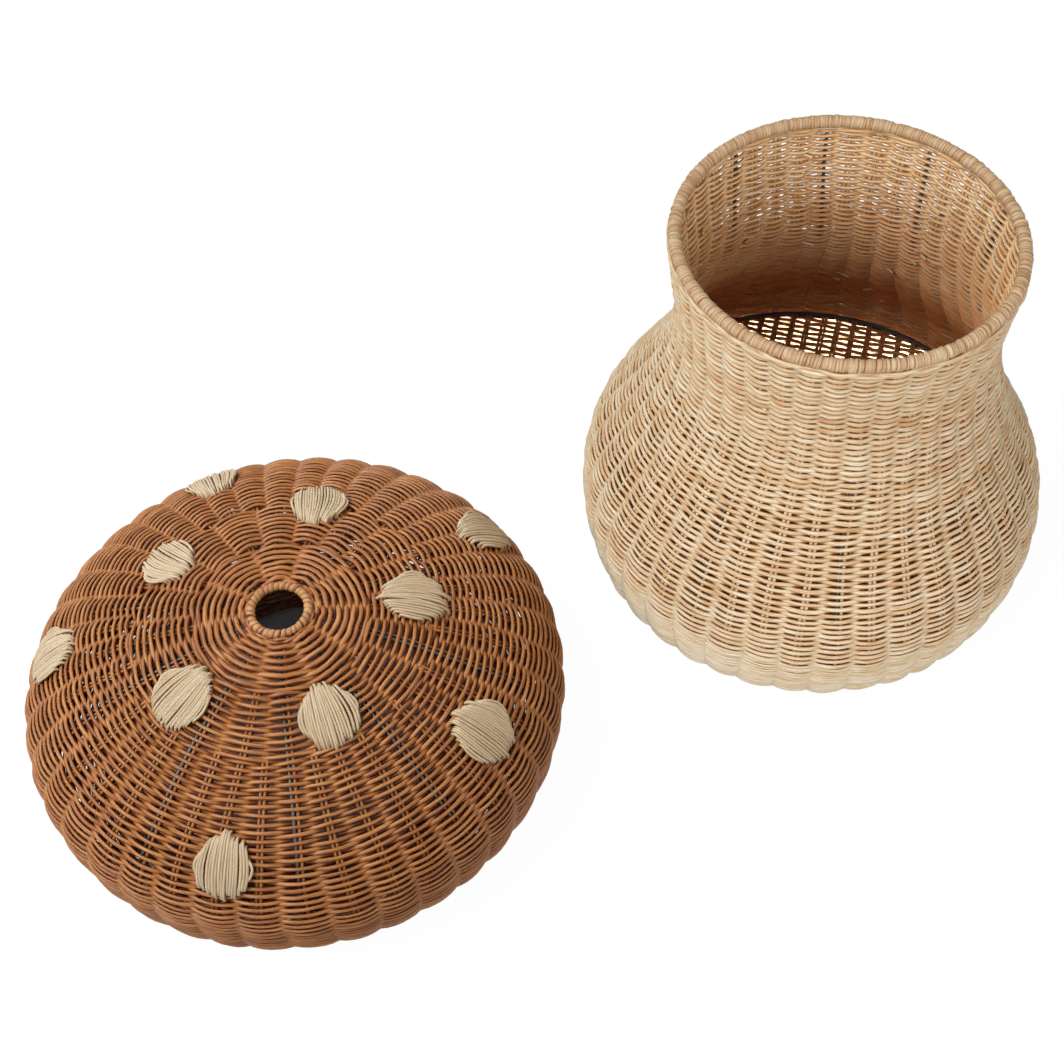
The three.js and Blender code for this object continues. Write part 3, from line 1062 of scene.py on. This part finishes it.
rim_turns = winding(
    body_x,
    centre_radius=rim_radius,
    height=rim_height,
    tube=0.0040,
    turns=330,
    half_width=0.00188,
    half_depth=0.00075,
    seed=5,
    points_each=10,
    slack=0.15,
)
hole_turns = winding(
    lid_x,
    centre_radius=0.0197,
    height=0.1584,
    tube=0.0023,
    turns=31,
    half_width=0.00245,
    half_depth=0.0008,
    seed=6,
    points_each=12,
    slack=0.12,
)
strands_piece("rim_winding", [rim_turns], rim_straw, "basket", ["rim_wrap"])
strands_piece(
    "finger_hole_winding", [hole_turns], ring_rattan, "lid", ["finger_hole_wrap"]
)


# Hoops
def add_hoop(name, x, height, centre_radius, radius, body_name, node):
    bpy.ops.object.select_all(action="DESELECT")
    bpy.ops.mesh.primitive_torus_add(
        location=(x, 0.0, height),
        major_radius=centre_radius,
        minor_radius=radius,
        major_segments=144,
        minor_segments=12,
    )
    hoop = bpy.context.object
    hoop.name = name
    bpy.ops.object.transform_apply(location=True, rotation=True, scale=True)
    bpy.ops.object.shade_smooth()
    hoop.data.materials.append(dark_wire)
    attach(hoop, body_name)
    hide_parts(node)


# Axis, height, radius of the ring and of its wire, body, and the node it stands for
add_hoop("black_floor_ring", body_x, floor_height, 0.1665, 0.0023, "basket", "floor_ring")
add_hoop("foot_wire", body_x, 0.0050, 0.1610, 0.0020, "basket", "foot_hoop")
add_hoop("rim_core", body_x, rim_height, rim_radius, 0.0033, "basket", "rim_hoop")
add_hoop("lid_edge_wire", lid_x, 0.0198, 0.1706, 0.0020, "lid", "lid_base_hoop")
add_hoop("finger_hole_core", lid_x, 0.1582, 0.0208, 0.0018, "lid", "finger_hole_hoop")

# Floor of the body
floor_turn = math.radians(49.0)
floor_reach = 0.1658
stake_step = 0.0129
row_step = 0.0057
# Half the step between the two canes of a pair
pair_side = 0.0012
# How far a cane rises and dips on its way, and how unevenly it is laid
stake_wave = 0.0002
row_wave = 0.0006
stake_unevenness = 0.0002
row_unevenness = 0.00025


def floor_weave():
    """Pairs of straight canes, and single ones woven across them with gaps between."""
    chance = np.random.default_rng(31)
    along = np.array([math.cos(floor_turn), math.sin(floor_turn), 0.0])
    over = np.array([-math.sin(floor_turn), math.cos(floor_turn), 0.0])
    upward = np.array([0.0, 0.0, 1.0])
    middle = np.array([body_x, 0.0, floor_height])
    blocks = []

    def lay(centres, half_depth, half_height):
        outward = np.tile(upward, (len(centres), 1))
        number = floor_numbers + len(blocks)
        blocks.append(single_strand(centres, outward, half_depth, half_height, number))

    for i in range(-12, 13):
        offset = i * stake_step + stake_unevenness * chance.normal()
        for side in (-pair_side, pair_side):
            across = offset + side + stake_unevenness * chance.normal()
            half = math.sqrt(max(floor_reach**2 - across**2, 0.0))
            if half < 0.01:
                continue
            share = np.linspace(-half, half, 60)
            lift = stake_wave * np.cos(math.pi * share / row_step)
            centres = middle + share[:, None] * along + across * over + lift[:, None] * upward
            lay(centres, 0.00125, 0.0014)
    for k in range(-28, 29):
        offset = k * row_step + row_unevenness * chance.normal()
        half = math.sqrt(max(floor_reach**2 - offset**2, 0.0))
        if half < 0.012:
            continue
        share = np.linspace(-half, half, max(int(half / 0.0013), 12))
        parity = 1.0 if k % 2 == 0 else -1.0
        lift = parity * row_wave * np.cos(math.pi * share / stake_step)
        drift = 0.00035 * np.cos(share * 38.0 + chance.uniform(0.0, full_turn))
        centres = middle + (offset + drift)[:, None] * along
        centres = centres + share[:, None] * over + lift[:, None] * upward
        lay(centres, 0.001, 0.0017)
    strands_piece("floor_weave", blocks, floor_shade_straw, "basket", ["woven_floor"])


floor_weave()
light_only(foot_lamp(power=54.0, colour=(0.52, 0.72, 1.0)), [foot_weave])

# Underside and collar of the lid, each a straight line from one radius and height to another
underside_outline = Outline([[(0.1725, 0.0120), (0.1110, 0.0120)]], -1.0)
underside = Weave(underside_outline, lid_x, lid_turn, seed=41, swing=0.0016, sheet_depth=0.0030)
underside_rows = np.arange(0.0012, underside_outline.length, 0.0027)
underside_stakes = np.linspace(0.0, underside_outline.length, 12)
strands_piece(
    "underside_weave",
    [
        underside.rows(
            underside_rows, alternating(len(underside_rows)), points_each=5, thickness=0.0013
        ),
        underside.stakes(every_column, underside_stakes, side=-0.0013, half=0.0011),
        underside.stakes(every_column, underside_stakes, side=0.0013, half=0.0011),
    ],
    dyed,
    "lid",
    ["lid_underside"],
)
collar_outline = Outline([[(0.1105, 0.0170), (0.1105, 0.0000)]], -1.0)
collar = Weave(collar_outline, lid_x, lid_turn, seed=43, swing=0.0010, sheet_depth=0.0025)
collar_rows = np.arange(0.0014, collar_outline.length, 0.00262)
collar_stakes = np.linspace(0.0, collar_outline.length - 0.0012, 8)
strands_piece(
    "collar_weave",
    [
        collar.rows(collar_rows, alternating(len(collar_rows)), points_each=5, thickness=0.00135),
        collar.stakes(every_column, collar_stakes, side=0.0, half=0.0011),
    ],
    dyed,
    "lid",
    ["lid_collar"],
)


# Stitched spots
# Turn about the lid, arc from the hole, slant of the stitches, half width, half length, bow, tip,
# and how much longer the one stray stitch is
spots = [
    (56.2, 0.0822, 8.0, 0.0208, 0.0218, -0.001, 0.0, 0.0),
    (122.9, 0.0784, -4.0, 0.0202, 0.0202, 0.002, 0.0, 0.0),
    (-160.6, 0.0627, 0.0, 0.0218, 0.0222, 0.0, 0.0, 0.0),
    (-88.9, 0.0620, -3.0, 0.0206, 0.0222, 0.0, 0.001, 0.0),
    (-15.0, 0.0695, -7.0, 0.0208, 0.0232, 0.002, 0.0, 0.003),
    (10.8, 0.1538, -8.0, 0.0206, 0.0222, 0.002, 0.0, 0.0),
    (90.7, 0.1445, 0.0, 0.0204, 0.0204, 0.0, 0.0, 0.0),
    (155.5, 0.1552, 6.0, 0.0206, 0.0208, -0.001, 0.0, 0.0),
    (-124.2, 0.1541, 2.0, 0.0190, 0.0214, 0.0, 0.004, 0.0),
    (-53.3, 0.1412, 4.0, 0.0232, 0.0233, 0.001, 0.0, 0.0),
]
stitch_pitch = 0.002
stitch_half = 0.00111
stitch_unevenness = 0.0013
# How often there is a gap between two stitches
gap_chance = 0.17
# Places along half a stitch, from its middle to its end, and how high it lies over the lid there
stitch_share = np.array([0.0, 0.4, 0.75, 0.93, 0.985, 1.0])
stitch_lift = np.array([0.0018, 0.0017, 0.0014, 0.0006, -0.0016, -0.0042])


def stitched_spot(index, turn, arc, slant, wide, long, bow, tip, stray):
    """A round patch of stitches, side by side, that dive into the weave at both ends."""
    chance = np.random.default_rng(100 + index)
    count = int(round(2.0 * wide / stitch_pitch))
    steps = 1.0 + 0.12 * chance.normal(0.0, 1.0, count) + 0.5 * (chance.random(count) < gap_chance)
    places = np.cumsum(steps)
    middle = 0.5 * (places[0] + places[-1])
    places = (places - middle) / (places[-1] - places[0] + 1.0) * 2.0 * wide
    lean = math.radians(slant)
    centre_radius = dome_outline.at(arc)[0]
    share = np.concatenate([-stitch_share[:0:-1], stitch_share])
    height = np.concatenate([stitch_lift[:0:-1], stitch_lift])
    blocks = []
    for i, across in enumerate(places):
        half = long * math.sqrt(max(1.0 - (0.95 * across / wide) ** 2, 0.0))
        before = half + stitch_unevenness * chance.normal()
        before += tip * math.exp(-((across / 0.0035) ** 2))
        after = half + stitch_unevenness * chance.normal()
        skew = math.radians(0.6) * chance.normal()
        if stray and i == count // 3:
            skew = math.radians(-5.0)
            before += stray
            after += stray
        lift = height + 0.0002 * chance.normal()
        run = np.where(share < 0.0, share * before, share * after)
        drift = across * (1.0 - 0.16 * share**2) + run * math.tan(skew) + bow * (1.0 - share**2)
        down = run * math.cos(lean) - drift * math.sin(lean)
        around = run * math.sin(lean) + drift * math.cos(lean)
        angle = math.radians(turn) + around / centre_radius
        points, outward = dome.place(angle, arc + down, lift)
        thick = stitch_half * (1.0 + 0.08 * chance.normal())
        number = stitch_numbers + 40 * index + i
        blocks.append(single_strand(points, outward, thick, thick, number))
    name = f"stitched_spot_{index:02d}"
    strands_piece(name, blocks, pale, "lid", [f"spot_{index:02d}"])


for index, spot in enumerate(spots, 1):
    stitched_spot(index, *spot)

light_only(front, basket_pieces)
